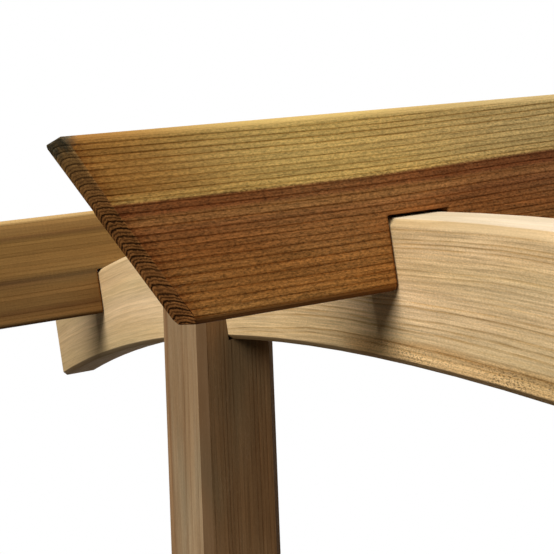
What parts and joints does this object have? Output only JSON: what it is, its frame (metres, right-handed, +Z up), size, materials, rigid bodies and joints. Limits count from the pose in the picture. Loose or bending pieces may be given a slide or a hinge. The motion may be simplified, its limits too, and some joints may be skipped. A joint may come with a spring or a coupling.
{
  "type": "garden arch",
  "caption": "Timber garden arch: leaning posts with arched cross arms bolted in at their tops and straight notched beams laid across the arms.",
  "frame": {"origin": "centre of the left post's foot, at ground level", "axes": "+X along the beams towards the other post, +Y through the arch away from the viewer, +Z up"},
  "size_m": [1.9335, 1.262, 2.2835],
  "materials": {
    "post_wood": "planed, weathered",
    "arm_wood": "planed",
    "beam_wood": "planed"
  },
  "bodies": {
    "root": {"left_post": "post_wood", "right_post": "post_wood", "left_arm": "arm_wood", "right_arm": "arm_wood", "front_beam": "beam_wood", "back_beam": "beam_wood"}
  },
  "joints": []
}
